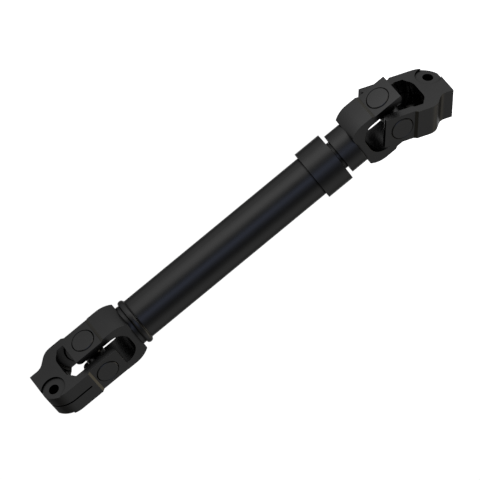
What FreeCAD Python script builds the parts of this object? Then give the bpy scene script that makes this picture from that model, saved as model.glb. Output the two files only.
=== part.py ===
import FreeCAD, Part
import math
import os
import Sketcher
from FreeCAD import Placement, Rotation, Vector

# Intermediate steering shaft of a heavy truck: a clamp yoke and a universal joint at each end of a
# telescoping shaft, which is a splined slip shaft in a tube.
# Frame, in millimetres: the origin is the centre of the lower clamp yoke's bore mouth, +X runs along
# the shaft to the upper end, +Y along the ears of the two shaft forks, +Z up along the ears of the
# two clamp yokes. At rest the upper clamp yoke is swung sideways, as it lies on a bench.

os.makedirs("parts", exist_ok=True)
doc = FreeCAD.newDocument("steering_shaft")
sheet = doc.addObject("Spreadsheet::Sheet", "sizes")

SIZES = {
    # the whole shaft
    "clamp_reach": 65.0,            # cross centre to the mouth of a clamp bore
    "joint_span": 380.3,            # lower cross centre to upper cross centre
    "upper_bend": 30.0,             # degrees that the upper clamp yoke is swung at rest
    # forged blocks, alike in all four forks
    "block_width": 34.6,
    "arm_face": 30.1,               # outside of the arms, from the shaft axis
    "pad_face": 28.0,               # spot-faced pads round the cups
    "pad_reach": 16.7,              # half the length of a pad
    "tip_rounding": 6.0,            # inside edge of each ear tip
    # clamp yokes
    "clamp_tip": 19.5,              # ear tip, past the cross centre
    "clamp_gap": 19.8,              # half the space between the ears
    "clamp_throat": 34.3,           # bottom of the throat, from the cross centre
    "clamp_throat_radius": 12.0,
    "swing_clearance": 0.5,
    "swing_tilt": 12.0,             # degrees that the fork hinge tips while the clamp hinge is bent
    "lug_radius": 24.8,
    "lug_run": 22.5,                # length of the round end of the lug side
    "neck_height": 16.2,
    "neck_foot": 13.9,              # where the neck starts to rise, from the bore mouth
    "neck_top": 26.9,               # where it meets the arm
    "neck_round": 15.5,
    "neck_cove": 11.5,
    "clamp_bore_radius": 10.6,
    "serration_count": 36,
    "serration_depth": 0.5,
    "serration_width": 1.0,
    "slit_width": 2.0,
    "slit_reach": 43.5,
    "bolt_inset": 12.0,             # pinch bolt axis, from the bore mouth
    "bolt_height": 14.7,
    "bolt_radius": 5.6,
    "bolt_seat_radius": 13.4,
    "bolt_seat_depth": 1.8,
    # shaft forks
    "fork_tip": 18.7,
    "fork_gap": 20.8,
    "fork_throat": 37.4,
    "fork_throat_radius": 16.0,
    "shoulder_radius": 23.5,
    "shoulder_run": 17.3,
    "lower_fork_end": 44.8,         # square end of the block, from the cross centre
    "upper_fork_end": 45.8,
    "spigot_end": 52.2,             # lower fork: end of its hub, where the tube starts
    "pilot_length": 14.0,
    "socket_floor": 47.5,           # upper fork: bottom of the slip shaft's socket
    "upper_hub_end": 65.0,
    # cross and bearings
    "root_radius": 10.8,
    "root_reach": 15.6,
    "pin_radius": 7.55,
    "pin_reach": 26.2,
    "pin_chamfer": 1.0,
    "cup_radius": 11.85,
    "cup_wall": 1.95,
    "cup_floor": 2.1,
    "cup_open_end": 18.0,
    "cup_closed_end": 28.5,
    "cup_chamfer": 0.6,
    "bore_chamfer": 0.8,
    "press_allowance": 0.02,
    "needle_clearance": 0.05,
    "needle_end_play": 0.3,
    "seal_radius": 11.2,
    "seal_clearance": 0.15,
    # tube, weld and slip joint
    "tube_radius": 22.65,
    "tube_wall": 3.0,
    "bead_width": 6.8,
    "bead_height": 3.1,
    "slip_gap": 3.9,                # collar end to the upper fork's hub, at rest
    "collar_wall": 4.82,
    "collar_length": 30.3,
    "collar_end_wall": 10.3,
    "collar_bore_clearance": 0.5,
    "wiper_depth": 4.5,
    "wiper_wall": 4.0,
    "wiper_clearance": 0.1,
    "sleeve_length": 84.0,
    "sleeve_wall": 3.8,             # tube bore to the plain slip shaft
    "spline_count": 16,
    "spline_depth": 1.75,
    "spline_relief": 0.1,           # spline tips below the plain shaft
    "spline_pitch_share": 0.47,     # of the space between two splines, taken by a tooth
    "spline_clearance": 0.08,
    "shaft_lead": 12.0,             # shaft end past the sleeve, inside the tube
    "shaft_land": 9.3,              # plain length of shaft between the splines and the hub
}

for row, (alias, number) in enumerate(SIZES.items(), start=1):
    sheet.set(f"A{row}", alias)
    sheet.set(f"B{row}", str(number))
    sheet.setAlias(f"B{row}", alias)
doc.recompute()


class Size:
    """A size with its value and the sheet formula that drives it."""

    def __init__(self, value, formula):
        self.value = float(value)
        self.formula = formula

    def __add__(self, other):
        other = as_size(other)
        return Size(self.value + other.value, f"({self.formula} + {other.formula})")

    def __sub__(self, other):
        other = as_size(other)
        return Size(self.value - other.value, f"({self.formula} - {other.formula})")

    def __mul__(self, factor):
        factor = as_size(factor)
        return Size(self.value * factor.value, f"({self.formula} * {factor.formula})")

    def __truediv__(self, divisor):
        divisor = as_size(divisor)
        return Size(self.value / divisor.value, f"({self.formula} / {divisor.formula})")

    def __neg__(self):
        return Size(-self.value, f"(0 - {self.formula})")


def as_size(number):
    if isinstance(number, Size):
        return number
    return Size(number, str(number))


def hypotenuse(one, other):
    """The longest side of a right-angled triangle."""
    return Size(math.hypot(one.value, other.value), f"sqrt({one.formula} ^ 2 + {other.formula} ^ 2)")


def cosine(angle):
    return Size(math.cos(math.radians(angle.value)), f"cos({angle.formula})")


def sine(angle):
    return Size(math.sin(math.radians(angle.value)), f"sin({angle.formula})")


def size(alias):
    return Size(SIZES[alias], f"sizes.{alias}")


ZERO = as_size(0)
OVERCUT = 1.0                       # how far a cut runs past the face it starts from
MIDDLE = size("block_width") / 2
BORE_RADIUS = size("cup_radius") + size("press_allowance")
LOWER_CROSS = size("clamp_reach")
UPPER_CROSS = size("clamp_reach") + size("joint_span")
TUBE_START = LOWER_CROSS + size("spigot_end")
COLLAR_END = UPPER_CROSS - size("upper_hub_end") - size("slip_gap")
COLLAR_START = COLLAR_END - size("collar_length")
TUBE_END = COLLAR_END - size("collar_end_wall")
TUBE_BORE = size("tube_radius") - size("tube_wall")
SHAFT_RADIUS = TUBE_BORE - size("sleeve_wall")
SPLINE_TIP = SHAFT_RADIUS - size("spline_relief")
SPLINE_ROOT = SPLINE_TIP - size("spline_depth")
TOOTH_WIDTH = SPLINE_TIP * (2 * math.pi) / size("spline_count") * size("spline_pitch_share")
COLLAR_RADIUS = size("tube_radius") + size("collar_wall")
SLEEVE_START = TUBE_END - size("sleeve_length")
SHAFT_START = SLEEVE_START - size("shaft_lead")
SHAFT_END = UPPER_CROSS - size("socket_floor")
SPLINE_END = UPPER_CROSS - size("upper_hub_end") - size("shaft_land")


def new_body(name):
    body = doc.addObject("PartDesign::Body", name)
    body.Label = name
    return body


def new_sketch(body, plane_role, name):
    """A sketch on one of the body's own origin planes."""
    sketch = body.newObject("Sketcher::SketchObject", name)
    plane = next(item for item in body.Origin.OriginFeatures if item.Role == plane_role)
    sketch.AttachmentSupport = [(plane, "")]
    sketch.MapMode = "FlatFace"
    return sketch


def hold(sketch, geometry, end, across, up):
    """Holds a point at its two sizes from the sketch's origin. None leaves that direction free."""
    origin, across_axis, up_axis = -1, -2, -1
    for kind, distance, axis in (("DistanceX", across, across_axis), ("DistanceY", up, up_axis)):
        if distance is None:
            continue
        if distance is ZERO:
            sketch.addConstraint(Sketcher.Constraint("PointOnObject", geometry, end, axis))
            continue
        index = sketch.addConstraint(
            Sketcher.Constraint(kind, origin, 1, geometry, end, distance.value))
        sketch.setExpression(f"Constraints[{index}]", distance.formula)


def outline(sketch, corners, arc_centres=None):
    """A closed outline through the corners, each a pair of sizes. arc_centres gives the centre of an
    edge that is round, under the number of the corner it leaves from. The corner at the far end of a
    round edge may leave one size free by wrapping it in a list: the arc then sets it."""
    arc_centres = arc_centres or {}
    count = len(corners)
    points = []
    for across, up in corners:
        across_value = across[0] if isinstance(across, list) else across.value
        up_value = up[0] if isinstance(up, list) else up.value
        points.append(Vector(across_value, up_value, 0))
    ends = []
    for number in range(count):
        start, finish = points[number], points[(number + 1) % count]
        if number not in arc_centres:
            ends.append((sketch.addGeometry(Part.LineSegment(start, finish), False), 1, 2))
            continue
        across, up = arc_centres[number]
        centre = Vector(across.value, up.value, 0)
        start_angle = math.atan2(start.y - centre.y, start.x - centre.x)
        finish_angle = math.atan2(finish.y - centre.y, finish.x - centre.x)
        circle = Part.Circle(centre, Vector(0, 0, 1), (start - centre).Length)
        anticlockwise = (finish_angle - start_angle) % (2 * math.pi) < math.pi
        if anticlockwise:
            arc = Part.ArcOfCircle(circle, start_angle, finish_angle)
            ends.append((sketch.addGeometry(arc, False), 1, 2))
        else:
            arc = Part.ArcOfCircle(circle, finish_angle, start_angle)
            ends.append((sketch.addGeometry(arc, False), 2, 1))
        hold(sketch, ends[-1][0], 3, across, up)
    for number, (across, up) in enumerate(corners):
        geometry, start_end, _ = ends[number]
        before, _, finish_end = ends[number - 1]
        sketch.addConstraint(
            Sketcher.Constraint("Coincident", before, finish_end, geometry, start_end))
        across = None if isinstance(across, list) else across
        up = None if isinstance(up, list) else up
        hold(sketch, geometry, start_end, across, up)


def circle(sketch, radius):
    """A circle about the sketch's origin."""
    geometry = sketch.addGeometry(Part.Circle(Vector(0, 0, 0), Vector(0, 0, 1), radius.value), False)
    sketch.addConstraint(Sketcher.Constraint("Coincident", geometry, 3, -1, 1))
    index = sketch.addConstraint(Sketcher.Constraint("Radius", geometry, radius.value))
    sketch.setExpression(f"Constraints[{index}]", radius.formula)


def swept(body, kind, sketch, length, both_ways=False, reverse=False):
    """A pad or pocket of the sketch."""
    feature = body.newObject(f"PartDesign::{kind}", kind)
    feature.Profile = sketch
    feature.SideType = "Symmetric" if both_ways else "One side"
    feature.Reversed = reverse
    feature.Length = length.value
    feature.setExpression("Length", length.formula)
    doc.recompute()
    return feature


def turned(body, kind, sketch, axis):
    """A revolution or groove of the sketch about its own H_Axis or V_Axis."""
    feature = body.newObject(f"PartDesign::{kind}", kind)
    feature.Profile = sketch
    feature.ReferenceAxis = (sketch, [axis])
    feature.Angle = 360
    doc.recompute()
    return feature


def round_turns(body, feature, axis_role, count):
    """Repeats a feature evenly about one of the body's axes."""
    axis = next(item for item in body.Origin.OriginFeatures if item.Role == axis_role)
    pattern = body.newObject("PartDesign::PolarPattern", "PolarPattern")
    pattern.Originals = [feature]
    pattern.Axis = (axis, [""])
    pattern.Angle = 360
    pattern.Occurrences = int(count.value)
    pattern.setExpression("Occurrences", count.formula)
    body.Tip = pattern
    doc.recompute()
    return pattern


def round_edges(body, direction, spots, radius):
    """Rounds the straight edges along a direction that pass through the given spots."""
    base = body.Tip
    names = []
    for number, edge in enumerate(base.Shape.Edges, start=1):
        if len(edge.Vertexes) != 2:
            continue
        start, finish = (vertex.Point for vertex in edge.Vertexes)
        along = (finish - start).normalize()
        if abs(along.dot(direction)) < 0.999:
            continue
        across = start - direction * start.dot(direction)
        if any((across - spot).Length < 0.01 for spot in spots):
            names.append(f"Edge{number}")
    fillet = body.newObject("PartDesign::Fillet", "Fillet")
    fillet.Base = (base, names)
    fillet.Radius = radius.value
    fillet.setExpression("Radius", radius.formula)
    doc.recompute()
    return fillet


def place(body, along_shaft, rotation=Rotation()):
    body.Placement = Placement(Vector(along_shaft.value, 0, 0), rotation)
    body.setExpression("Placement.Base.x", along_shaft.formula)


def turn_cup_bores(body, plane_role, pocket=()):
    """Both cup bores of a fork, chamfered at their mouths, turned in one setting about the cross pins.
    pocket is the upper half of the turned pocket that clears the other fork's ears, as radius and
    height from the cross centre."""
    sketch = new_sketch(body, plane_role, "bores")
    face, chamfer = size("pad_face"), size("bore_chamfer")
    beyond = face + OVERCUT
    mouth = BORE_RADIUS + chamfer + OVERCUT
    corners = [(ZERO, beyond), (mouth, beyond), (BORE_RADIUS, face - chamfer)]
    corners += list(pocket) + [(radius, -height) for radius, height in reversed(pocket)]
    corners += [(BORE_RADIUS, chamfer - face), (mouth, -beyond), (ZERO, -beyond)]
    outline(sketch, corners)
    turned(body, "Groove", sketch, "V_Axis")


def clamp_yoke(name, along_shaft, rotation):
    """The forged yoke that clamps on a serrated shaft. Its own +X runs from the cross centre to the
    bore mouth, and its pinch lug is on its +Z side."""
    body = new_body(name)
    end, arm, pad = size("clamp_reach"), size("arm_face"), size("pad_face")
    reach, tip, gap = size("pad_reach"), size("clamp_tip"), size("clamp_gap")
    throat, neck = size("clamp_throat"), size("neck_height")
    lug_start = end - size("lug_run")
    lug_centre = arm - size("lug_radius")
    lug_end = lug_centre.value + math.sqrt(SIZES["lug_radius"] ** 2 - SIZES["lug_run"] ** 2)
    neck_foot, neck_top = end - size("neck_foot"), end - size("neck_top")
    side = new_sketch(body, "XZ_Plane", "side")
    outline(side, [
        (-tip, gap), (-tip, pad), (reach, pad), (reach, arm), (lug_start, arm), (end, [lug_end]),
        (end, -neck), (neck_foot, -neck), (neck_top, -arm), (reach, -arm), (reach, -pad),
        (-tip, -pad), (-tip, -gap), (throat, -gap), (throat, gap),
    ], {4: (lug_start, lug_centre)})
    swept(body, "Pad", side, size("block_width"), both_ways=True)
    across = Vector(0, 1, 0)
    round_edges(body, across, [Vector(throat.value, 0, gap.value), Vector(throat.value, 0, -gap.value)],
                size("clamp_throat_radius"))
    round_edges(body, across, [Vector(-tip.value, 0, gap.value), Vector(-tip.value, 0, -gap.value)],
                size("tip_rounding"))
    round_edges(body, across, [Vector(neck_top.value, 0, -arm.value)], size("neck_round"))
    round_edges(body, across, [Vector(neck_foot.value, 0, -neck.value)], size("neck_cove"))
    turn_cup_bores(body, "XZ_Plane", ear_swing_pocket())
    cut_serrated_bore(body)
    cut_pinch_slit(body)
    cut_bolt_hole(body)
    place(body, along_shaft, rotation)
    return body


def ear_swing_pocket():
    """Where the ears of a shaft fork swing between the arms of a clamp yoke, also while they tip."""
    clearance, tilt = size("swing_clearance"), size("swing_tilt")
    tip, pad, gap = size("fork_tip"), size("pad_face"), size("fork_gap")
    level = MIDDLE + clearance
    lifted = MIDDLE * cosine(tilt) + tip * sine(tilt) + clearance
    lifted_tip = tip * cosine(tilt) - MIDDLE * sine(tilt)
    return [
        (BORE_RADIUS, level), (gap, level),
        (hypotenuse(gap, tip - size("tip_rounding")), lifted),
        (hypotenuse(lifted_tip, pad) + clearance, lifted),
        (hypotenuse(tip, pad) + clearance, level),
    ]


def cut_serrated_bore(body):
    """The bore that grips the serrated end of a steering shaft: fine V notches all round it."""
    through = (size("clamp_reach") + OVERCUT) * 2
    bore = new_sketch(body, "YZ_Plane", "bore")
    circle(bore, size("clamp_bore_radius"))
    swept(body, "Pocket", bore, through, both_ways=True)
    notch = new_sketch(body, "YZ_Plane", "notch")
    root = size("clamp_bore_radius") + size("serration_depth")
    foot = size("clamp_bore_radius") - size("serration_depth") / 8
    half = size("serration_width") / 2
    outline(notch, [(-half, foot), (half, foot), (ZERO, root)])
    first_notch = swept(body, "Pocket", notch, through, both_ways=True)
    round_turns(body, first_notch, "X_Axis", size("serration_count"))


def cut_pinch_slit(body):
    """The saw cut through the lug, from the bore mouth into the arm, that lets the clamp close."""
    slit = new_sketch(body, "XY_Plane", "slit")
    half = size("slit_width") / 2
    inner = size("clamp_reach") - size("slit_reach")
    outer = size("clamp_reach") + OVERCUT
    outline(slit, [(inner, -half), (outer, -half), (outer, half), (inner, half)])
    swept(body, "Pocket", slit, size("arm_face") + OVERCUT, reverse=True)


def cut_bolt_hole(body):
    """The pinch bolt hole across the slit, with a round seat sunk in each flat side for head and nut."""
    hole = new_sketch(body, "XY_Plane", "hole")
    height = size("bolt_height")
    hole.AttachmentOffset = Placement(Vector(0, 0, height.value), Rotation())
    hole.setExpression("AttachmentOffset.Base.z", height.formula)
    axis = size("clamp_reach") - size("bolt_inset")
    narrow, wide = axis + size("bolt_radius"), axis + size("bolt_seat_radius")
    seat, beyond = MIDDLE - size("bolt_seat_depth"), MIDDLE + OVERCUT
    outline(hole, [(axis, beyond), (axis, -beyond), (wide, -beyond), (wide, -seat),
                   (narrow, -seat), (narrow, seat), (wide, seat), (wide, beyond)])
    centre_line = hole.addGeometry(
        Part.LineSegment(Vector(axis.value, -beyond.value, 0), Vector(axis.value, beyond.value, 0)), True)
    hold(hole, centre_line, 1, axis, -beyond)
    hold(hole, centre_line, 2, axis, beyond)
    turned(body, "Groove", hole, "Axis0")


def fork_block(name, block_end):
    """The forged block of a shaft fork. Its own +X runs from the cross centre to its square end."""
    body = new_body(name)
    arm, pad, reach = size("arm_face"), size("pad_face"), size("pad_reach")
    tip, gap, throat = size("fork_tip"), size("fork_gap"), size("fork_throat")
    shoulder = block_end - size("shoulder_run")
    centre = arm - size("shoulder_radius")
    drop = math.sqrt(SIZES["shoulder_radius"] ** 2 - SIZES["shoulder_run"] ** 2)
    corner = centre.value + drop
    top = new_sketch(body, "XY_Plane", "top")
    outline(top, [
        (-tip, gap), (-tip, pad), (reach, pad), (reach, arm), (shoulder, arm), (block_end, [corner]),
        (block_end, [-corner]), (shoulder, -arm), (reach, -arm), (reach, -pad),
        (-tip, -pad), (-tip, -gap), (throat, -gap), (throat, gap),
    ], {4: (shoulder, centre), 6: (shoulder, -centre)})
    swept(body, "Pad", top, size("block_width"), both_ways=True)
    up = Vector(0, 0, 1)
    round_edges(body, up, [Vector(throat.value, gap.value, 0), Vector(throat.value, -gap.value, 0)],
                size("fork_throat_radius"))
    round_edges(body, up, [Vector(-tip.value, gap.value, 0), Vector(-tip.value, -gap.value, 0)],
                size("tip_rounding"))
    turn_cup_bores(body, "XY_Plane")
    return body


def lower_tube_fork():
    """The fork welded to the tube: its round hub meets the tube's end, and a pilot centres it inside."""
    block_end = size("lower_fork_end")
    body = fork_block("lower_tube_fork", block_end)
    hub = new_sketch(body, "XY_Plane", "hub")
    overlap = size("fork_throat") + OVERCUT
    pilot = TUBE_BORE - size("press_allowance")
    pilot_end = size("spigot_end") + size("pilot_length")
    outline(hub, [(overlap, ZERO), (overlap, MIDDLE / 2), (block_end, MIDDLE / 2),
                  (block_end, size("tube_radius")), (size("spigot_end"), size("tube_radius")),
                  (size("spigot_end"), pilot), (pilot_end, pilot), (pilot_end, ZERO)])
    turned(body, "Revolution", hub, "H_Axis")
    place(body, LOWER_CROSS)
    return body


def upper_slip_fork():
    """The fork on the slip shaft: a long round hub with a blind socket for the shaft's end."""
    block_end = size("upper_fork_end")
    body = fork_block("upper_slip_fork", block_end)
    hub = new_sketch(body, "XY_Plane", "hub")
    overlap = size("fork_throat") + OVERCUT
    outline(hub, [(overlap, ZERO), (overlap, MIDDLE / 2), (block_end, MIDDLE / 2),
                  (block_end, size("tube_radius")), (size("upper_hub_end"), size("tube_radius")),
                  (size("upper_hub_end"), ZERO)])
    turned(body, "Revolution", hub, "H_Axis")
    socket = new_sketch(body, "XY_Plane", "socket")
    floor, mouth = size("socket_floor"), size("upper_hub_end") + OVERCUT
    radius = SHAFT_RADIUS + size("press_allowance")
    outline(socket, [(floor, ZERO), (mouth, ZERO), (mouth, radius), (floor, radius)])
    turned(body, "Groove", socket, "H_Axis")
    place(body, UPPER_CROSS, Rotation(Vector(0, 0, 1), 180))
    return body


def cross(name, along_shaft):
    """The forged cross: four ground pins on stout roots."""
    body = new_body(name)
    root, reach = size("root_radius"), size("root_reach")
    pin, pin_end, chamfer = size("pin_radius"), size("pin_reach"), size("pin_chamfer")
    half = [(reach, root), (reach, pin), (pin_end - chamfer, pin), (pin_end, pin - chamfer)]
    upright = new_sketch(body, "XZ_Plane", "upright")
    outline(upright, [(ZERO, -pin_end)] + [(radius, -height) for height, radius in reversed(half)]
            + [(radius, height) for height, radius in half] + [(ZERO, pin_end)])
    turned(body, "Revolution", upright, "V_Axis")
    level = new_sketch(body, "XY_Plane", "level")
    outline(level, [(ZERO, -pin_end)] + [(radius, -height) for height, radius in reversed(half)]
            + [(radius, height) for height, radius in half] + [(ZERO, pin_end)])
    turned(body, "Revolution", level, "V_Axis")
    place(body, along_shaft)
    return body


def ring_on_pin(name, corners, along_shaft, rotation):
    """A round bearing piece about a cross pin, drawn as radius and height along the pin."""
    body = new_body(name)
    section = new_sketch(body, "XZ_Plane", "section")
    outline(section, corners)
    turned(body, "Revolution", section, "V_Axis")
    place(body, along_shaft, rotation)
    return body


def cup(name, along_shaft, rotation):
    """The drawn steel cup pressed into an ear, closed at its outer end."""
    radius, chamfer = size("cup_radius"), size("cup_chamfer")
    bore = radius - size("cup_wall")
    start, end = size("cup_open_end"), size("cup_closed_end")
    floor = end - size("cup_floor")
    return ring_on_pin(name, [(bore, start), (radius, start), (radius, end - chamfer),
                              (radius - chamfer, end), (ZERO, end), (ZERO, floor), (bore, floor)],
                       along_shaft, rotation)


def needle_row(name, along_shaft, rotation):
    """The full row of needle rollers between a pin and its cup, as one ring."""
    inside = size("pin_radius") + size("needle_clearance")
    outside = size("cup_radius") - size("cup_wall") - size("needle_clearance")
    play = size("needle_end_play")
    start = size("cup_open_end") + play
    end = size("cup_closed_end") - size("cup_floor") - play
    return ring_on_pin(name, [(inside, start), (outside, start), (outside, end), (inside, end)],
                       along_shaft, rotation)


def pin_seal(name, along_shaft, rotation):
    """The rubber seal between a cup's open end and the shoulder of the cross."""
    inside = size("pin_radius") + size("seal_clearance")
    start = size("root_reach") + size("seal_clearance")
    return ring_on_pin(name, [(inside, start), (size("seal_radius"), start),
                              (size("seal_radius"), size("cup_open_end")),
                              (inside, size("cup_open_end"))],
                       along_shaft, rotation)


def turned_on_shaft(name, corners, arc_centres=None):
    """A round piece about the shaft's axis, drawn as place along the shaft and radius."""
    body = new_body(name)
    section = new_sketch(body, "XY_Plane", "section")
    outline(section, corners, arc_centres)
    turned(body, "Revolution", section, "H_Axis")
    place(body, ZERO)
    return body


def outer_tube():
    """The drawn steel tube, from the lower fork's hub to inside the collar."""
    radius = size("tube_radius")
    return turned_on_shaft("outer_tube", [(TUBE_START, TUBE_BORE), (TUBE_END, TUBE_BORE),
                                          (TUBE_END, radius), (TUBE_START, radius)])


def weld_bead():
    """The round weld that joins the lower fork's hub and the tube, domed in small flats."""
    radius, half, height = size("tube_radius"), size("bead_width") / 2, size("bead_height")
    rise = [(1.0, 0.0), (0.97, 0.35), (0.82, 0.65), (0.56, 0.87), (0.2, 1.0)]
    upward = [(TUBE_START - half * out, radius + height * up) for out, up in rise]
    downward = [(TUBE_START + half * out, radius + height * up) for out, up in reversed(rise)]
    return turned_on_shaft("weld_bead", upward + downward)


def dust_collar():
    """The collar pressed over the tube's upper end, its end wall bored for the slip shaft and the wiper."""
    inside = size("tube_radius") + size("press_allowance")
    bore = SHAFT_RADIUS + size("collar_bore_clearance")
    pocket = SHAFT_RADIUS + size("wiper_wall")
    pocket_floor = COLLAR_END - size("wiper_depth")
    return turned_on_shaft("dust_collar", [
        (COLLAR_START, inside), (TUBE_END, inside), (TUBE_END, bore), (pocket_floor, bore),
        (pocket_floor, pocket), (COLLAR_END, pocket), (COLLAR_END, COLLAR_RADIUS),
        (COLLAR_START, COLLAR_RADIUS),
    ])


def wiper_seal():
    """The rubber wiper that keeps grit out of the splines."""
    inside = SHAFT_RADIUS + size("wiper_clearance")
    outside = SHAFT_RADIUS + size("wiper_wall") - size("press_allowance")
    pocket_floor = COLLAR_END - size("wiper_depth")
    return turned_on_shaft("wiper_seal", [(pocket_floor, inside), (COLLAR_END, inside),
                                          (COLLAR_END, outside), (pocket_floor, outside)])


def spline_sleeve():
    """The internally splined sleeve fixed in the tube's upper end, which drives the slip shaft."""
    clearance = size("spline_clearance")
    bore = SPLINE_ROOT + clearance
    outside = TUBE_BORE - size("press_allowance")
    body = turned_on_shaft("spline_sleeve", [(SLEEVE_START, bore), (TUBE_END, bore),
                                             (TUBE_END, outside), (SLEEVE_START, outside)])
    slot = new_sketch(body, "XZ_Plane", "slot")
    root, foot = SPLINE_TIP + clearance, bore - OVERCUT
    outline(slot, [(SLEEVE_START - OVERCUT, foot), (TUBE_END + OVERCUT, foot),
                   (TUBE_END + OVERCUT, root), (SLEEVE_START - OVERCUT, root)])
    width = TOOTH_WIDTH + clearance * 2
    first_slot = swept(body, "Pocket", slot, width, both_ways=True)
    round_turns(body, first_slot, "X_Axis", size("spline_count"))
    return body


def slip_shaft():
    """The splined shaft that slides in the sleeve, with its plain end pressed in the upper fork."""
    radius, root = SHAFT_RADIUS, SPLINE_ROOT
    body = turned_on_shaft("slip_shaft", [(SHAFT_START, ZERO), (SHAFT_START, root), (SPLINE_END, root),
                                          (SPLINE_END, radius), (SHAFT_END, radius), (SHAFT_END, ZERO)])
    tooth = new_sketch(body, "XZ_Plane", "tooth")
    top, foot = SPLINE_TIP, root - OVERCUT
    outline(tooth, [(SHAFT_START, foot), (SPLINE_END, foot), (SPLINE_END, top), (SHAFT_START, top)])
    first_tooth = swept(body, "Pad", tooth, TOOTH_WIDTH, both_ways=True)
    round_turns(body, first_tooth, "X_Axis", size("spline_count"))
    return body


def bearings(joint, along_shaft):
    """The four cups, needle rows and seals of one universal joint."""
    along_x = Vector(1, 0, 0)
    sides = {"front": -90, "rear": 90, "top": 0, "bottom": 180}
    pieces = []
    for side, angle in sides.items():
        rotation = Rotation(along_x, angle)
        pieces.append(cup(f"{joint}_{side}_cup", along_shaft, rotation))
        pieces.append(needle_row(f"{joint}_{side}_needles", along_shaft, rotation))
        pieces.append(pin_seal(f"{joint}_{side}_seal", along_shaft, rotation))
    return pieces


half_turn_up = Rotation(Vector(0, 0, 1), 180)
half_turn_over = Rotation(Vector(1, 0, 0), 180)
swing = Rotation(Vector(0, 0, 1), -SIZES["upper_bend"])
pieces = [
    clamp_yoke("lower_clamp_yoke", LOWER_CROSS, half_turn_up),
    cross("lower_cross", LOWER_CROSS),
    *bearings("lower", LOWER_CROSS),
    lower_tube_fork(),
    weld_bead(),
    outer_tube(),
    spline_sleeve(),
    dust_collar(),
    wiper_seal(),
    slip_shaft(),
    upper_slip_fork(),
    cross("upper_cross", UPPER_CROSS),
    *bearings("upper", UPPER_CROSS),
    clamp_yoke("upper_clamp_yoke", UPPER_CROSS, swing * half_turn_over),
]

doc.recompute()
for item in doc.Objects:
    if "Invalid" in item.State or "Error" in item.State:
        raise RuntimeError(f"{item.Name} did not build: {item.State}")
for piece in pieces:
    if piece.Shape.isNull() or not piece.Shape.isValid() or len(piece.Shape.Solids) != 1:
        raise RuntimeError(f"{piece.Label} is not one sound solid")
    piece.Shape.exportStep(f"parts/{piece.Label}.step")
    box = piece.Shape.BoundBox
    print(f"{piece.Label}: {piece.Shape.Volume / 1000:.2f} cm3,"
          f" x {box.XMin:.1f}..{box.XMax:.1f}, y {box.YMin:.1f}..{box.YMax:.1f},"
          f" z {box.ZMin:.1f}..{box.ZMax:.1f}")
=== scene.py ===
import math

import bmesh
import bpy
from mathutils import Matrix, Vector


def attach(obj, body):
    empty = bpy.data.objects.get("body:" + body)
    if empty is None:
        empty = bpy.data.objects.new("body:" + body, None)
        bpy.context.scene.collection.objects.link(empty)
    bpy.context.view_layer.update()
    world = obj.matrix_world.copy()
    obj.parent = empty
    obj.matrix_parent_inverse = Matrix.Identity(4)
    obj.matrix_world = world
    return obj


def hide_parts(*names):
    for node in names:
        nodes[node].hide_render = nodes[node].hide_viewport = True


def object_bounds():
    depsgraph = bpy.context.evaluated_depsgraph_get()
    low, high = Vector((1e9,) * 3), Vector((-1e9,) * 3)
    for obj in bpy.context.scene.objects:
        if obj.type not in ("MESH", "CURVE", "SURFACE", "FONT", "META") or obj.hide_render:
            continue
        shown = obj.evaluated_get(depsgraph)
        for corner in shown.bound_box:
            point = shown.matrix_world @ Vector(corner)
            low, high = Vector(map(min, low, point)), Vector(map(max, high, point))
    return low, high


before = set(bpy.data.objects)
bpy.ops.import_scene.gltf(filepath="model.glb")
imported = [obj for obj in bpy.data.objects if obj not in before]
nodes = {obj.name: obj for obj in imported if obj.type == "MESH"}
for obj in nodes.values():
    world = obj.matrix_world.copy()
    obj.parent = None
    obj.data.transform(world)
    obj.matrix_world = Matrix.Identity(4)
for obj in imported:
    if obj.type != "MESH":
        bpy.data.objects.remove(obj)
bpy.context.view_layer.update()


# The view of the photograph: square on to the shaft from above, rolled so that the shaft climbs
# from lower left to upper right. A long lens keeps the shaft's two ends the same size, as there.
towards_camera = Vector((0.0, 0.7536, 0.6574))
picture_right = Vector((0.7721, -0.4178, 0.4789))
picture_up = towards_camera.cross(picture_right)
middle_of_view = Vector((0.2498, -0.0025, 0.0029))
half_view = 0.240
lens_mm = 400.0
sensor_mm = 36.0
camera_data = bpy.data.cameras.new("camera")
camera_data.lens = lens_mm
camera_data.sensor_width = sensor_mm
camera_data.clip_end = 50.0
camera = bpy.data.objects.new("camera", camera_data)
bpy.context.scene.collection.objects.link(camera)
distance = half_view / (sensor_mm / 2 / lens_mm)
turn = Matrix((picture_right, picture_up, towards_camera)).transposed().to_4x4()
camera.matrix_world = Matrix.Translation(middle_of_view + towards_camera * distance) @ turn
bpy.context.scene.camera = camera
bpy.context.scene.view_settings.view_transform = "Standard"


# The floor: a white sheet, lit through from below, that the two clamp yokes lie on. It glows more
# in front of the shaft, which shows as the broad pale stripe low on the tube, and past the shaft's
# upper end.
def new_piece(name, shape):
    """Makes a finished shape a piece of the scene."""
    mesh = bpy.data.meshes.new(name)
    shape.to_mesh(mesh)
    shape.free()
    piece = bpy.data.objects.new(name, mesh)
    bpy.context.scene.collection.objects.link(piece)
    return piece


def new_finish(name):
    """A new material made of nodes, with its tree and its shader."""
    finish = bpy.data.materials.new(name)
    finish.use_nodes = True
    return finish, finish.node_tree, finish.node_tree.nodes["Principled BSDF"]


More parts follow.
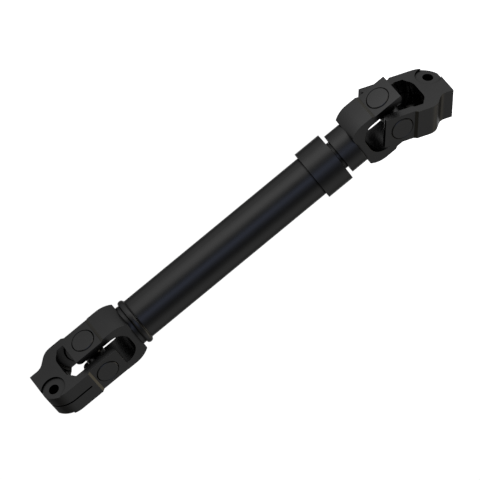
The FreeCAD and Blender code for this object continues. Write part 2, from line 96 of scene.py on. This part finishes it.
def rise(tree, value, span, levels=(0.0, 1.0), soft=False):
    """A number that goes from one level to the other while the value crosses the span."""
    node = tree.nodes.new("ShaderNodeMapRange")
    if soft:
        node.interpolation_type = "SMOOTHSTEP"
    sockets = ("From Min", "From Max", "To Min", "To Max")
    for socket, number in zip(sockets, (*span, *levels)):
        node.inputs[socket].default_value = number
    tree.links.new(value, node.inputs["Value"])
    return node.outputs["Result"]


floor_half_side = 6.0
shaft_middle = Vector((0.25, 0.0, 0.0))
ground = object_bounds()[0][2]
floor_shape = bmesh.new()
bmesh.ops.create_grid(floor_shape, x_segments=1, y_segments=1, size=floor_half_side)
floor = new_piece("floor", floor_shape)
floor.location = (shaft_middle.x, shaft_middle.y, ground)
white_sheet, sheet_tree, sheet_shader = new_finish("white_sheet")
sheet_shader.inputs["Base Color"].default_value = (0.08, 0.08, 0.08, 1.0)
sheet_shader.inputs["Roughness"].default_value = 0.9
sheet_shader.inputs["Specular IOR Level"].default_value = 0.1
sheet_shader.inputs["Emission Color"].default_value = (1.0, 1.0, 1.0, 1.0)
sheet_place = sheet_tree.nodes.new("ShaderNodeTexCoord")
sheet_parts = sheet_tree.nodes.new("ShaderNodeSeparateXYZ")
sheet_tree.links.new(sheet_place.outputs["Object"], sheet_parts.inputs["Vector"])
forwards, along_shaft = sheet_parts.outputs["Y"], sheet_parts.outputs["X"]
glow_in_front = rise(sheet_tree, forwards, span=(0.040, 0.110), levels=(0.0, 0.72), soft=True)
glow_along = rise(sheet_tree, along_shaft, span=(-0.25, 0.05), levels=(0.3, 1.0), soft=True)
glow_past_end = rise(sheet_tree, along_shaft, span=(0.12, 0.21), levels=(1.0, 1.45), soft=True)
glow = sheet_tree.nodes.new("ShaderNodeMath")
glow.operation = "MULTIPLY_ADD"
for socket, part in zip(glow.inputs, (glow_in_front, glow_along, glow_past_end)):
    sheet_tree.links.new(part, socket)
sheet_tree.links.new(glow.outputs["Value"], sheet_shader.inputs["Emission Strength"])
floor.data.materials.append(white_sheet)


# The lights: long soft boxes beside the shaft, which it mirrors as stripes. Each row is an angle
# from overhead towards the front, in degrees, and the light there. The room is dim past the ends
# of the shaft, apart from a warm corner, and a warm box shines from in front of its upper end.
def mixed(tree, factor, first, second):
    """Two colours mixed: each is three plain numbers or the output of another node."""
    node = tree.nodes.new("ShaderNodeMix")
    node.data_type = "RGBA"
    tree.links.new(factor, node.inputs["Factor"])
    for socket, colour in (("A", first), ("B", second)):
        if isinstance(colour, tuple):
            node.inputs[socket].default_value = (*colour, 1.0)
        else:
            tree.links.new(colour, node.inputs[socket])
    return node.outputs["Result"]


soft_boxes = [
    (-90, (0.98, 0.98, 0.98)), (-75, (0.96, 0.96, 0.96)), (-50, (0.88, 0.88, 0.88)),
    (-32, (0.76, 0.76, 0.76)), (-14, (0.36, 0.36, 0.36)), (2, (0.18, 0.18, 0.19)),
    (20, (0.36, 0.38, 0.46)), (31, (0.66, 0.74, 1.02)), (40, (0.93, 1.05, 1.52)),
    (49, (0.62, 0.70, 0.99)), (58, (0.38, 0.40, 0.46)), (69, (0.50, 0.50, 0.50)),
    (80, (1.10, 1.10, 1.10)), (90, (1.50, 1.50, 1.50)),
]
dim_light = (0.28, 0.27, 0.25)
warm_light = (2.7, 2.5, 2.1)
warm_corner_at = (0.65, -0.76, 0.0)
room = bpy.data.worlds.new("room")
room.use_nodes = True
room_tree = room.node_tree
direction = room_tree.nodes.new("ShaderNodeTexCoord").outputs["Generated"]
parts = room_tree.nodes.new("ShaderNodeSeparateXYZ")
room_tree.links.new(direction, parts.inputs["Vector"])
angle = room_tree.nodes.new("ShaderNodeMath")
angle.operation = "ARCTAN2"
room_tree.links.new(parts.outputs["Y"], angle.inputs[0])
room_tree.links.new(parts.outputs["Z"], angle.inputs[1])
half_turn = rise(room_tree, angle.outputs["Value"], span=(-math.pi / 2, math.pi / 2))
boxes = room_tree.nodes.new("ShaderNodeValToRGB")
boxes.color_ramp.interpolation = "EASE"
given_stops = len(boxes.color_ramp.elements)
for number, (degrees, light) in enumerate(soft_boxes):
    at = (degrees + 90.0) / 180.0
    if number < given_stops:
        stop = boxes.color_ramp.elements[number]
        stop.position = at
    else:
        stop = boxes.color_ramp.elements.new(at)
    stop.color = (*light, 1.0)
room_tree.links.new(half_turn, boxes.inputs["Fac"])
sideways = room_tree.nodes.new("ShaderNodeMath")
sideways.operation = "ABSOLUTE"
room_tree.links.new(parts.outputs["X"], sideways.inputs[0])
past_ends = rise(room_tree, sideways.outputs["Value"], span=(0.25, 0.65), soft=True)
dim_ends = mixed(room_tree, past_ends, boxes.outputs["Color"], dim_light)
towards_warm = room_tree.nodes.new("ShaderNodeVectorMath")
towards_warm.operation = "DOT_PRODUCT"
towards_warm.inputs[1].default_value = warm_corner_at
room_tree.links.new(direction, towards_warm.inputs[0])
warm_spread = rise(room_tree, towards_warm.outputs["Value"], span=(0.75, 0.97), soft=True)
warm_corner = mixed(room_tree, warm_spread, dim_ends, warm_light)
room_tree.links.new(warm_corner, room_tree.nodes["Background"].inputs["Color"])
bpy.context.scene.world = room
warm_distance = 2.0
warm_data = bpy.data.lights.new("warm_box", "AREA")
warm_data.size = 0.9
warm_data.energy = 5.0
warm_data.color = (1.0, 0.95, 0.86)
warm_box = bpy.data.objects.new("warm_box", warm_data)
bpy.context.scene.collection.objects.link(warm_box)
warm_from = Vector((0.73, 0.60, 0.31)).normalized()
warm_turn = warm_from.to_track_quat("Z", "Y").to_matrix().to_4x4()
warm_place = Matrix.Translation(shaft_middle + warm_from * warm_distance)
warm_box.matrix_world = warm_place @ warm_turn


# The outer tube: cold-drawn steel tube, turned smooth at both ends and dipped in a thin black
# satin coat. The coat follows the faint unevenness of the steel and is rubbed a little paler along
# its edges, and painted shade darkens its colour in tight corners.
coat_black = (0.030, 0.030, 0.030)
black_mirrors = (0.42, 0.42, 0.42)


def unevenness(tree, place, scale, detail):
    """A cloudy number that stays on the surface, with the scale in waves to a metre."""
    node = tree.nodes.new("ShaderNodeTexNoise")
    node.inputs["Scale"].default_value = scale
    node.inputs["Detail"].default_value = detail
    tree.links.new(place, node.inputs["Vector"])
    return node.outputs["Fac"]


def relief(tree, height, strength, depth):
    """A node that raises the surface a little by the height."""
    node = tree.nodes.new("ShaderNodeBump")
    node.inputs["Strength"].default_value = strength
    node.inputs["Distance"].default_value = depth
    tree.links.new(height, node.inputs["Height"])
    return node


def black_coat(name, colour, roughness, grain_size, grain_depth, edge=0.0004, shade_reach=0.0034,
               shade_own_shape_only=False):
    """A thin black coat on steel, with sizes in metres.

    The grain is the faint unevenness of the steel. The edge is how wide it is rubbed paler. The
    last two give painted shade: how far into tight corners and hollows it darkens the colour, as
    if less light got in there, and whether only the piece's own shape casts it, not its neighbours.
    """
    gloss_change, shade_change, rubbed_gain, painted_shade_depth = 0.03, 0.08, 1.6, 0.88
    finish, tree, shader = new_finish(name)
    links = tree.links
    shader.inputs["Metallic"].default_value = 1.0
    shader.inputs["Specular Tint"].default_value = (*black_mirrors, 1.0)
    place = tree.nodes.new("ShaderNodeTexCoord").outputs["Object"]
    cloud = unevenness(tree, place, scale=60.0, detail=4.0)
    glosses = (roughness - gloss_change, roughness + gloss_change)
    gloss = rise(tree, cloud, span=(0.3, 0.7), levels=glosses)
    links.new(gloss, shader.inputs["Roughness"])
    darker = tuple(channel * (1.0 - shade_change) for channel in colour)
    paler = tuple(channel * (1.0 + shade_change) for channel in colour)
    shade = mixed(tree, cloud, darker, paler)
    rounded = tree.nodes.new("ShaderNodeBevel")
    rounded.samples = 4
    rounded.inputs["Radius"].default_value = edge
    surface = tree.nodes.new("ShaderNodeNewGeometry")
    facing = tree.nodes.new("ShaderNodeVectorMath")
    facing.operation = "DOT_PRODUCT"
    links.new(rounded.outputs["Normal"], facing.inputs[0])
    links.new(surface.outputs["Normal"], facing.inputs[1])
    rubbed = rise(tree, facing.outputs["Value"], span=(0.99, 0.80))
    worn = mixed(tree, rubbed, shade, tuple(channel * rubbed_gain for channel in colour))
    # Painted shade: the colour turns darker, towards black, in tight corners and hollows within the
    # shade reach, where less light gets in.
    corner = tree.nodes.new("ShaderNodeAmbientOcclusion")
    corner.samples = 8
    corner.inputs["Distance"].default_value = shade_reach
    corner.only_local = shade_own_shape_only
    painted_shade = rise(tree, corner.outputs["AO"], span=(0.50, 0.90), levels=(painted_shade_depth, 0.0))
    with_painted_shade = mixed(tree, painted_shade, worn, (0.0, 0.0, 0.0))
    links.new(with_painted_shade, shader.inputs["Base Color"])
    grain = unevenness(tree, place, scale=1.0 / grain_size, detail=2.0)
    bump = relief(tree, grain, strength=0.3, depth=grain_depth)
    links.new(rounded.outputs["Normal"], bump.inputs["Normal"])
    links.new(bump.outputs["Normal"], shader.inputs["Normal"])
    return finish


def finish_nodes(names, finish):
    """Gives solids their finish in place of a plain one."""
    for name in names:
        for slot in nodes[name].material_slots:
            slot.material = finish


tube_coat = black_coat("tube_coat", coat_black, roughness=0.30, grain_size=0.0012,
                       grain_depth=0.00003)
finish_nodes(["outer_tube"], tube_coat)


# The two shaft forks: carbon steel, hammered in closed dies, shot-blasted, then machined at the ear
# bores and the spot-faced pads before the black coat. The lower one is welded to the tube.
forging_coat = black_coat("forging_coat", coat_black, roughness=0.34, grain_size=0.0014,
                          grain_depth=0.00006)
finish_nodes(["lower_tube_fork", "upper_slip_fork"], forging_coat)


# The weld between the lower fork's hub and the tube: one smooth run laid by machine while the shaft
# turns, so it is an even ring all round. Its foot is sunk in the tube, and it has the same coat.
bead_place = 0.1172
bead_half_width = 0.0034
bead_foot = 0.02265
bead_height = 0.0031
bead_sunk = 0.0004
bead_fullness, bead_steepness = 0.65, 0.6
bead_step = 12
toe_width = 0.0010
toe_bend_along, toe_bend_up = 0.0004, 0.0003


def spun_ring(name, section, turn_and_place, steps=96):
    """A round piece along +X, spun from a closed section of (place along it, radius)."""
    shape = bmesh.new()
    corners = [shape.verts.new((along, 0.0, radius)) for along, radius in section]
    edges = [shape.edges.new(pair) for pair in zip(corners, corners[1:] + corners[:1])]
    bmesh.ops.spin(shape, geom=corners + edges, cent=(0, 0, 0), axis=(1, 0, 0),
                   angle=2 * math.pi, steps=steps, use_merge=True)
    bmesh.ops.remove_doubles(shape, verts=shape.verts, dist=1e-7)
    bmesh.ops.recalc_face_normals(shape, faces=shape.faces)
    bmesh.ops.transform(shape, matrix=turn_and_place, verts=shape.verts)
    ring = new_piece(name, shape)
    ring.data.shade_smooth()
    return ring


bead_section = [(-bead_half_width, bead_foot - bead_sunk)]
for degrees in range(180, bead_step - 1, -bead_step):
    along = bead_half_width * math.cos(math.radians(degrees))
    up = math.sin(math.radians(degrees))
    level = (1.0 - bead_fullness) * up + bead_fullness * up ** bead_steepness
    bead_section.append((along, bead_foot + bead_height * level))
bead_section += [
    (bead_half_width + toe_bend_along, bead_foot + toe_bend_up),
    (bead_half_width + toe_width, bead_foot),
    (bead_half_width + toe_width, bead_foot - bead_sunk),
]
weld_place = Matrix.Translation((bead_place, 0.0, 0.0))
weld_run = spun_ring("weld_run", bead_section, weld_place, steps=192)
weld_coat = black_coat("weld_coat", coat_black, roughness=0.32, grain_size=0.0012,
                       grain_depth=0.00004)
weld_run.data.materials.append(weld_coat)
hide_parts("weld_bead")
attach(weld_run, "tube")


# The collar and the splined sleeve: the sleeve is broached steel fixed in the tube's upper end, and
# the collar is turned bar, pressed over the tube against it, with a bored end wall for the slip
# shaft. The sleeve is phosphated, the collar has the tube's coat.
collar_coat = black_coat("collar_coat", coat_black, roughness=0.30, grain_size=0.0012,
                         grain_depth=0.00003)
finish_nodes(["dust_collar"], collar_coat)
phosphate = black_coat("phosphate", (0.035, 0.035, 0.036), roughness=0.36, grain_size=0.0010,
                       grain_depth=0.00004)
finish_nodes(["spline_sleeve"], phosphate)


# The wiper: a moulded nitrile rubber ring on a stiff outer band, pushed into the collar's end wall.
# Its two thin lips rub on the slip shaft and keep grit out of the splines.
fresh_rubber = (0.006, 0.006, 0.006)
bloomed_rubber = (0.012, 0.012, 0.012)
nitrile, nitrile_tree, nitrile_shader = new_finish("nitrile")
nitrile_shader.inputs["Specular IOR Level"].default_value = 0.3
nitrile_place = nitrile_tree.nodes.new("ShaderNodeTexCoord").outputs["Object"]
bloom = unevenness(nitrile_tree, nitrile_place, scale=220.0, detail=3.0)
bloom_colour = mixed(nitrile_tree, bloom, fresh_rubber, bloomed_rubber)
bloom_gloss = rise(nitrile_tree, bloom, span=(0.0, 1.0), levels=(0.50, 0.72))
moulding = relief(nitrile_tree, bloom, strength=0.25, depth=0.00004)
nitrile_tree.links.new(bloom_colour, nitrile_shader.inputs["Base Color"])
nitrile_tree.links.new(bloom_gloss, nitrile_shader.inputs["Roughness"])
nitrile_tree.links.new(moulding.outputs["Normal"], nitrile_shader.inputs["Normal"])

wiper_start = 0.3719
wiper_lip = 0.01595
wiper_band = 0.01982
wiper_section = [
    (0.0, 0.0184), (0.0003, 0.0181), (0.0006, 0.0172), (0.0003, 0.0163), (0.0005, wiper_lip),
    (0.0011, wiper_lip), (0.0016, 0.0164), (0.0023, 0.0169), (0.0030, 0.0166), (0.0037, 0.0161),
    (0.0042, wiper_lip), (0.0045, 0.0160), (0.0044, 0.0166), (0.0039, 0.0173), (0.0037, 0.0181),
    (0.0040, 0.0187), (0.0044, 0.0191), (0.0044, 0.0196), (0.0042, wiper_band),
    (0.0002, wiper_band), (0.0, 0.0196),
]
wiper_place = Matrix.Translation((wiper_start, 0.0, 0.0))
shaft_wiper = spun_ring("shaft_wiper", wiper_section, wiper_place)
shaft_wiper.data.materials.append(nitrile)
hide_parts("wiper_seal")
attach(shaft_wiper, "tube")


# The slip shaft: alloy steel bar with sixteen hobbed splines, ground plain next to the upper fork,
# phosphated dark and greased. It slides in the sleeve as the cab and the frame move.
shaft_coat = black_coat("shaft_coat", (0.032, 0.032, 0.032), roughness=0.28, grain_size=0.0010,
                        grain_depth=0.00002)
finish_nodes(["slip_shaft"], shaft_coat)


# The two crosses: case-hardened bearing steel, forged as four pins on a block, with the pins
# ground. Each carries a shaft fork on its side pins and a clamp yoke on its upright pins.
cross_places = {"lower": 0.0650, "upper": 0.4453}
ground_steel = black_coat("ground_steel", (0.034, 0.034, 0.034), roughness=0.30,
                          grain_size=0.0008, grain_depth=0.00002)
finish_nodes([f"{joint}_cross" for joint in cross_places], ground_steel)


# The bearing cups: deep-drawn steel, hardened, blacked and pressed into the ears of the forks and
# yokes until they sit just below the pads, with a fine groove of shadow round each one.
sides = ("front", "rear", "top", "bottom")
cup_steel = black_coat("cup_steel", (0.031, 0.031, 0.031), roughness=0.30, grain_size=0.0009,
                       grain_depth=0.00002, edge=0.0003)
finish_nodes([f"{joint}_{side}_cup" for joint in cross_places for side in sides], cup_steel)


# The needle rows: hardened rollers, polished and packed in grease between each pin and its cup.
# They are the only bright steel on the shaft, so they mirror fully.
roller_steel = black_coat("roller_steel", (0.35, 0.35, 0.36), roughness=0.20, grain_size=0.0008,
                          grain_depth=0.00001)
roller_shader = roller_steel.node_tree.nodes["Principled BSDF"]
roller_shader.inputs["Specular Tint"].default_value = (1.0, 1.0, 1.0, 1.0)
finish_nodes([f"{joint}_{side}_needles" for joint in cross_places for side in sides], roller_steel)


# The pin seals: a nitrile rubber ring pushed on the mouth of each cup. Its outer rim closes the cup
# and a bent lip rubs on the shoulder of the cross, which keeps the grease in.
seal_start = 0.01575
seal_section = [
    (0.0, 0.0098), (0.0002, 0.0094), (0.0006, 0.0096), (0.0010, 0.0092), (0.0012, 0.0084),
    (0.0010, 0.0079), (0.0013, 0.0077), (0.0019, 0.0077), (0.0022, 0.0080), (0.00225, 0.0106),
    (0.0022, 0.0110), (0.0017, 0.0112), (0.0009, 0.0112), (0.0006, 0.0110), (0.0005, 0.0104),
    (0.0001, 0.0101),
]
pins = {"front": (0, 1, 0), "rear": (0, -1, 0), "top": (0, 0, 1), "bottom": (0, 0, -1)}
seal_bodies = {
    "lower": {"front": "tube", "rear": "tube", "top": "lower_clamp", "bottom": "lower_clamp"},
    "upper": {"front": "slip", "rear": "slip", "top": "upper_clamp", "bottom": "upper_clamp"},
}
for joint, cross_place in cross_places.items():
    for side in sides:
        pin = Vector(pins[side])
        along_pin = Vector((1, 0, 0)).rotation_difference(pin).to_matrix().to_4x4()
        cup_mouth = Vector((cross_place, 0.0, 0.0)) + pin * seal_start
        seal_place = Matrix.Translation(cup_mouth) @ along_pin
        ring = spun_ring(f"{joint}_{side}_lip", seal_section, seal_place, steps=64)
        ring.data.materials.append(nitrile)
        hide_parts(f"{joint}_{side}_seal")
        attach(ring, seal_bodies[joint][side])


# The two clamp yokes: forged and coated as the forks are, then broached with fine serrations for
# the steering shafts, sawn through the lug and drilled for the pinch bolt. Their throats are deep,
# so their painted shade reaches far into them, and only their own arms cast it.
yoke_coat = black_coat("yoke_coat", coat_black, roughness=0.34, grain_size=0.0014,
                       grain_depth=0.00006, edge=0.0003, shade_reach=0.0180, shade_own_shape_only=True)
finish_nodes(["lower_clamp_yoke", "upper_clamp_yoke"], yoke_coat)


# The shoulders of the spot-faced pads: the cutter that levels an ear round its cup leaves a short
# ramp where it stops against the thicker arm. It is part of the forging, a little smoother from the
# cutter, under the same coat.
shoulder_coat = black_coat("shoulder_coat", (0.033, 0.032, 0.029), roughness=0.30,
                           grain_size=0.0012, grain_depth=0.00003, edge=0.0002)
pad_height = 0.0280
shoulder_start = 0.0167
ramp_height = 0.0020
ramp_width = 0.0028
ramp_sunk = 0.00002
half_block = 0.0173
sharpest_smooth = math.radians(40)
ramp_section = [
    (shoulder_start + ramp_sunk, pad_height - ramp_sunk),
    (shoulder_start + ramp_sunk, pad_height + ramp_height),
    (shoulder_start - ramp_width, pad_height - ramp_sunk),
]
rolls = {"top": 0.0, "bottom": 180.0, "front": -90.0, "rear": 90.0}
shoulders = {
    "lower_yoke": ("lower_clamp", "lower", 180.0, ("top", "bottom")),
    "lower_fork": ("tube", "lower", 0.0, ("front", "rear")),
    "upper_fork": ("slip", "upper", 180.0, ("front", "rear")),
    "upper_yoke": ("upper_clamp", "upper", -30.0, ("top", "bottom")),
}
for block, (body, joint, heading, faces) in shoulders.items():
    heading_turn = Matrix.Rotation(math.radians(heading), 4, "Z")
    for side in faces:
        roll_turn = Matrix.Rotation(math.radians(rolls[side]), 4, "X")
        # A clamp yoke is rolled before it is swung to its heading, a shaft fork after.
        in_yoke = side in ("top", "bottom")
        both_turns = heading_turn @ roll_turn if in_yoke else roll_turn @ heading_turn
        ramp_place = Matrix.Translation((cross_places[joint], 0.0, 0.0)) @ both_turns
        shape = bmesh.new()
        corners = [shape.verts.new((along, -half_block, level)) for along, level in ramp_section]
        swept = bmesh.ops.extrude_face_region(shape, geom=[shape.faces.new(corners)])
        far_end = [item for item in swept["geom"] if isinstance(item, bmesh.types.BMVert)]
        bmesh.ops.translate(shape, verts=far_end, vec=(0.0, 2 * half_block, 0.0))
        bmesh.ops.recalc_face_normals(shape, faces=shape.faces)
        bmesh.ops.transform(shape, matrix=ramp_place, verts=shape.verts)
        shoulder = new_piece(f"{block}_{side}_shoulder", shape)
        shoulder.data.shade_smooth()
        shoulder.data.set_sharp_from_angle(angle=sharpest_smooth)
        shoulder.data.materials.append(shoulder_coat)
        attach(shoulder, body)
